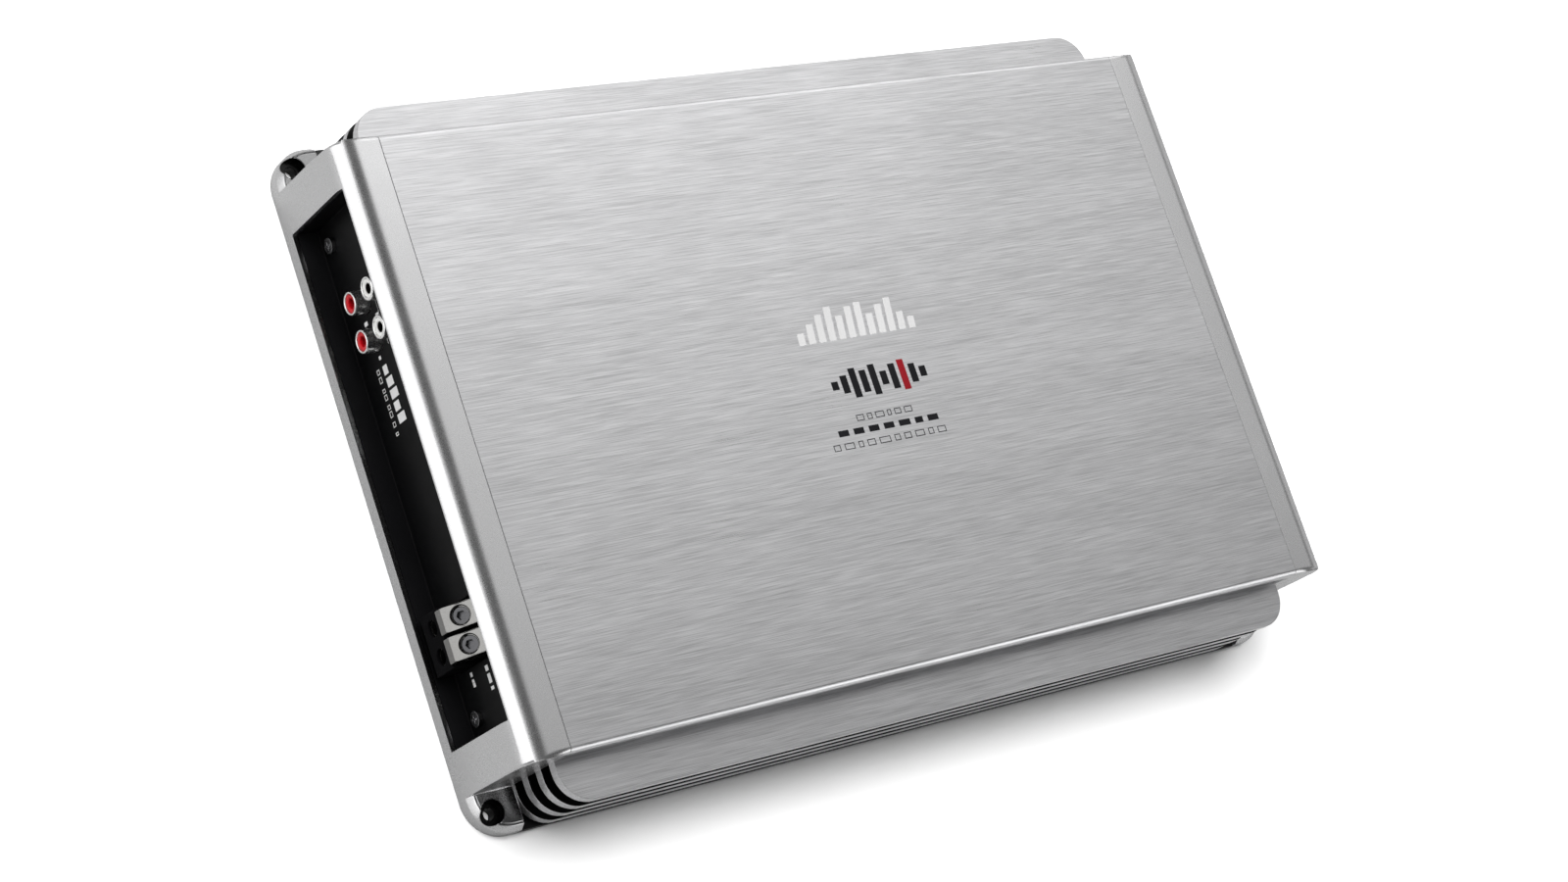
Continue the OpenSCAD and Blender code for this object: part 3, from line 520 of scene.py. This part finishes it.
def bar(bm, u, v, width, height, plane, lean=0.0):
    """A bar whose lower left corner is at (u, v); lean shifts its upper edge."""
    slab(bm, [(u, v), (u + width, v), (u + width + lean, v + height), (u + lean, v + height)], plane)


def dashes(bm, u, v, height, widths, space, plane, step=1):
    """A row of bars of these widths; step -1 sets the row out towards lower u."""
    for width in widths:
        bar(bm, u, v, width, height, plane)
        u += (width + space) * step


def outlines(bm, u, v, height, widths, space, plane, line=0.32, step=1):
    """A row of thin rectangles, drawn as outlines."""
    for width in widths:
        for low in (v, v + height - line):
            bar(bm, u, low, width, line, plane)
        for left in (u, u + width - line):
            bar(bm, left, v + line, line, height - 2 * line, plane)
        u += (width + space) * step


def top_marks():
    """A pale row of leaning bars, a dark row with one red bar, and rows of boxes and dashes."""
    pale = bmesh.new()
    levels = (4.5, 7.5, 10.5, 13.0, 9.0, 12.0, 13.0, 8.0, 11.0, 13.0, 7.0, 4.5)
    for i, level in enumerate(levels):
        bar(pale, -26.0 + i * 4.6, 12.4, 3.1, level, on_top, lean=level * 0.12)
    piece("top_bars_pale", pale, LOOKS["print_pale"])
    dark = bmesh.new()
    red = bmesh.new()
    for i, half in enumerate((1.6, 3.4, 5.6, 4.2, 5.8, 2.6, 4.8, 5.8, 3.6, 2.0)):
        bar(red if i == 7 else dark, -18.0 + i * 4.5, -4.4 - half, 3.0, 2 * half, on_top)
    outlines(dark, -12.0, -18.6, 2.3, (3.4, 2.2, 4.0, 1.8, 3.0, 3.6), 1.5, on_top)
    dashes(dark, -22.0, -23.3, 2.3, (4.6, 4.6, 4.6, 4.6, 5.2, 3.6, 4.8), 2.3, on_top)
    outlines(dark, -26.0, -28.3, 2.4, (3.0, 4.4, 2.2, 3.6, 5.0, 2.6, 3.2, 4.2, 2.4, 3.8), 1.9, on_top)
    piece("top_bars_dark", dark, LOOKS["print_dark"])
    piece("top_bar_red", red, LOOKS["print_red"])


def signal_panel_marks():
    """Bars and dashes beside the phono sockets and the speaker terminals."""
    pale = bmesh.new()
    for i, height in enumerate((3.2, 4.6, 5.4, 4.0, 5.4)):
        bar(pale, 34.6 - i * 4.4, 20.6, 3.3, height, on_signal_panel)
    boxes = (1.8, 2.2, 1.4, 2.0, 1.6, 2.2, 1.8, 1.2)
    outlines(pale, 36.2, 16.0, 2.0, boxes, 1.3, on_signal_panel, line=0.3, step=-1)
    for z, height in ((26.8, 2.2), (17.6, 2.4)):
        bar(pale, 53.5, z, 1.5, height, on_signal_panel)
    bar(pale, 40.4, 20.2, 1.3, 1.6, on_signal_panel)
    for z in (29.4, 43.4):
        bar(pale, 43.0, z, 22.4, 0.18, on_signal_panel)
    dashes(pale, -72.4, 15.6, 1.6, (1.5, 1.1, 1.5), 0.5, on_signal_panel, step=-1)
    dashes(pale, -73.4, 26.4, 2.1, (1.9, 1.4, 1.9, 1.2), 0.45, on_signal_panel, step=-1)
    piece("signal_panel_marks", pale, LOOKS["print_white"])


def power_panel_marks():
    """A dial round each knob, dashes by the other controls, and marks over the three wire terminals."""
    pale = bmesh.new()
    for y in KNOB_Y:
        for i in range(11):
            angle = math.radians(-150 + 30 * i)
            out = (math.sin(angle), math.cos(angle))
            across = (out[1] * 0.14, -out[0] * 0.14)
            near, far = 5.3, 6.7 if i % 5 == 0 else 6.1
            slab(pale, [(y + out[0] * r + across[0] * k, KNOB_Z + out[1] * r + across[1] * k)
                        for r, k in ((near, -1), (far, -1), (far, 1), (near, 1))], on_power_panel)
        dashes(pale, y - 2.7, 37.0, 1.0, (1.2, 0.9, 1.6, 0.8), 0.3, on_power_panel)
    for z in (24.2, 34.2):
        dashes(pale, -7.0, z, 0.9, (0.9, 1.4), 0.4, on_power_panel)
    plus, turn_on, minus = TERMINAL_Y
    for y in (plus, minus):
        bar(pale, y - 1.5, 41.1, 3.0, 0.6, on_power_panel)
    for z in (42.0, 39.6):
        bar(pale, plus - 0.3, z, 0.6, 1.2, on_power_panel)
    bar(pale, turn_on - 0.7, 40.7, 1.4, 1.4, on_power_panel)
    piece("power_panel_marks", pale, LOOKS["print_white"])


def knob_pointers():
    """A pale line let into the slot of each knob, turning with it."""
    def on_knob(u, v, lift):
        return Vector((END_X - 4.08 * MM + lift * MM, u * MM, v * MM))

    for node, y in zip(("gain_knob", "crossover_knob", "subsonic_knob", "bass_knob"), KNOB_Y):
        bm = bmesh.new()
        line = [(y + u, KNOB_Z + v) for u, v in ((-0.34, 0.2), (0.34, 0.2), (0.34, 3.7), (-0.34, 3.7))]
        slab(bm, line, on_knob, 0.0, 0.85)
        piece(node + "_pointer", bm, LOOKS["print_white"], BODY_OF[node])


top_marks()
signal_panel_marks()
power_panel_marks()
knob_pointers()


# ---- parts on the main board: real turns of wire, crimped cans -----------------------

WIRE_SIDES = 6


def winding(bm, centre, inner, outer, height, turns, wire):
    """One wire wound round a ring core: a helical tube that follows the core's rounded section."""
    bend = 2.6                      # radius of the section's corners
    low, high = inner + wire, outer - wire
    section = []
    for cx, cz, start in ((high - bend, height - wire - bend, 0), (low + bend, height - wire - bend, 90),
                          (low + bend, wire + bend, 180), (high - bend, wire + bend, 270)):
        for step in range(5):
            a = math.radians(start + 22.5 * step)
            section.append((cx + bend * math.cos(a), cz + bend * math.sin(a)))
    count = len(section)
    rings = []
    for i in range(turns * count):
        turn = 2 * math.pi * i / (turns * count)
        r, z = section[i % count]
        r0, z0 = section[i % count - 1]
        r1, z1 = section[(i + 1) % count]
        along = Vector((r1 - r0, z1 - z0)).normalized()
        out = Vector((math.cos(turn), math.sin(turn), 0))
        side = Vector((-math.sin(turn), math.cos(turn), 0))
        lift = out * along.y - Vector((0, 0, 1)) * along.x
        at = Vector(centre) + out * r + Vector((0, 0, z))
        rings.append([bm.verts.new((at + (side * math.cos(a) + lift * math.sin(a)) * wire) * MM)
                      for a in (math.tau * k / WIRE_SIDES for k in range(WIRE_SIDES))])
    for a, b in zip(rings, rings[1:] + rings[:1]):
        for k in range(WIRE_SIDES):
            after = (k + 1) % WIRE_SIDES
            bm.faces.new((a[k], a[after], b[after], b[k]))


def coils(name, node, places, inner, outer, height, base, turns, wire):
    """Ring cores at those places, each wound with one wire of that radius; all sizes in mm."""
    bm = bmesh.new()
    for x, y in places:
        winding(bm, (x, y, base), inner, outer, height, turns, wire)
    piece(name, bm, LOOKS["copper_wire"], stands_for=(node,))
    core = bmesh.new()
    low, high, t = inner + 2 * wire, outer - 2 * wire, 2 * wire
    for x, y in places:
        lathe(core, Vector((x, y, base)) * MM, (0, 0, 1),
              [(low, t + 2), (low + 2, t), (high - 2, t), (high, t + 2), (high, height - t - 2),
               (high - 2, height - t), (low + 2, height - t), (low, height - t - 2)], 48)
    piece(name + "_core", core, LOOKS["pad_blue"])


def cans(name, node, places, r, height):
    """Electrolytic capacitors: a sleeve with a crimp near the board, folded over a scored metal top."""
    side = [(r, 0.4), (r, 0.09 * height), (r - 0.35, 0.105 * height), (r - 0.5, 0.12 * height),
            (r - 0.35, 0.135 * height), (r, 0.15 * height), (r, height - 0.7), (r - 0.2, height - 0.2)]
    fold = [(r - 0.7, height), (0.8 * r, height), (0.78 * r, height - 0.3), (0, height - 0.3)]
    plate = [(0, height - 0.28), (0, height - 0.14), (0.74 * r, height - 0.14), (0.77 * r, height - 0.28)]

    def on_plate(u, v, lift):
        return Vector((u, v, BOARD_TOP + height - 0.12 + lift)) * MM

    sleeve, top = bmesh.new(), bmesh.new()
    for x, y in places:
        foot = Vector((x, y, BOARD_TOP)) * MM
        lathe(sleeve, foot, (0, 0, 1), [(0, 0), (r - 0.5, 0)] + side + fold, 40)
        lathe(top, foot, (0, 0, 1), plate, 32)
        for w, h in ((0.25, 1.1 * r), (1.1 * r, 0.25)):
            bar(top, x - w / 2, y - h / 2, w, h, on_plate)
    piece(name, sleeve, LOOKS["capacitor_sleeve"], stands_for=(node,))
    piece(name + "_tops", top, LOOKS["tin_plate"])


coils("transformer_turns", "transformer_windings", [(15, 0), (75, 0)], 9, 26, 24, BOARD_TOP + 2, 50, 0.6)
coils("inductor_turns", "output_inductors", [(-50, -48), (-90, -48)], 6, 18, 18, BOARD_TOP, 28, 0.7)
cans("rail_cans", "rail_capacitors", [(x, y) for x in (-18, 2, 22, 42) for y in (-52, 52)], 9, 30)
cans("input_cans", "input_capacitors", [(x, y) for x in (112, 132) for y in (-18, 18)], 8, 30)
cans("signal_cans", "signal_capacitors", [(x, y) for x in (-135, -122, -109) for y in (20, 34, 48)],
     3.2, 8)


# ---- studio -------------------------------------------------------------------

def soft_box(name, centre, target, size, power, glossy=True, diffuse=True):
    """A rectangular light, in metres and watts, that may be left out of reflections or of plain shading."""
    data = bpy.data.lights.new(name, "AREA")
    data.shape = "RECTANGLE"
    data.size, data.size_y = size
    data.energy = power
    lamp = bpy.data.objects.new(name, data)
    bpy.context.scene.collection.objects.link(lamp)
    lamp.location = centre
    lamp.rotation_euler = (Vector(target) - Vector(centre)).to_track_quat("-Z", "Y").to_euler()
    lamp.visible_glossy = glossy
    lamp.visible_diffuse = diffuse
    lamp.visible_camera = False


def paper_floor():
    """A white sheet just under the part, darker in reflections than it is directly."""
    bm = bmesh.new()
    bmesh.ops.create_grid(bm, x_segments=8, y_segments=8, size=6.0)
    mesh = bpy.data.meshes.new("floor")
    bm.to_mesh(mesh)
    bm.free()
    s = Shader("floor_paper")
    tone = s.blend(s.noise((30.0, 30.0, 30.0)), grey(0.90), grey(0.93))
    tone = s.blend(s.node("ShaderNodeLightPath").outputs["Is Glossy Ray"], tone, grey(0.35))
    s.set(Base_Color=tone, Roughness=0.9, Normal=s.bump(s.noise((700.0, 700.0, 700.0)), 0.05, 0.05 * MM))
    mesh.materials.append(s.material)
    floor = bpy.data.objects.new("floor", mesh)
    floor.location.z = LOW.z - 0.05 * MM
    bpy.context.scene.collection.objects.link(floor)


def studio():
    """A pale room and soft lights.

    The overhead light gives the shading and the shadow, and right_low adds a little to both. The rest
    only show in the metal's reflections.
    """
    paper_floor()
    world = bpy.data.worlds.new("studio")
    world.use_nodes = True
    room = world.node_tree.nodes["Background"]
    room.inputs["Color"].default_value = (*grey(0.93), 1)
    room.inputs["Strength"].default_value = 0.11
    bpy.context.scene.world = world

    soft_box("overhead", (-0.38, 0.68, 2.25), (0, 0, 0), (2.1, 1.9), 114, glossy=False)
    soft_box("left_wall", (-1.7, 0.3, 1.25), (-0.1, 0.3, 1.25), (3.0, 2.4), 34, diffuse=False)
    soft_box("right_wide", (1.35, 1.42, 1.7), (1.35, 1.42, 0.0), (2.4, 2.8), 11.4, diffuse=False)
    soft_box("right_key", (0.82, 1.4, 1.6), (0.82, 1.4, 0.0), (1.5, 1.5), 6.4, diffuse=False)
    soft_box("right_low", (2.6, 0.5, 0.55), (0, 0, 0.1), (1.8, 1.0), 2.8)
    soft_box("far_low", (1.9, 2.3, 0.85), (0, 0, 0.05), (2.4, 1.4), 12.0, diffuse=False)
    soft_box("front_right", (1.5, -1.7, 1.0), (0.1, -0.1, 0.3), (2.0, 1.7), 15.0, diffuse=False)


def camera():
    """The camera stands high over the signal end, turned well round its own axis."""
    place, target, roll = Vector((-0.7063, -0.2345, 0.9492)), Vector((-0.00808, -0.00853, 0)), 57.13
    data = bpy.data.cameras.new("camera")
    data.sensor_width = 36.0
    data.lens = 74.0
    data.clip_start = 0.05
    made = bpy.data.objects.new("camera", data)
    bpy.context.scene.collection.objects.link(made)
    aim = (target - place).to_track_quat("-Z", "Y").to_matrix().to_4x4()
    made.matrix_world = Matrix.Translation(place) @ aim @ Matrix.Rotation(math.radians(roll), 4, "Z")
    bpy.context.scene.camera = made


studio()
camera()
bpy.context.scene.view_settings.view_transform = "Standard"
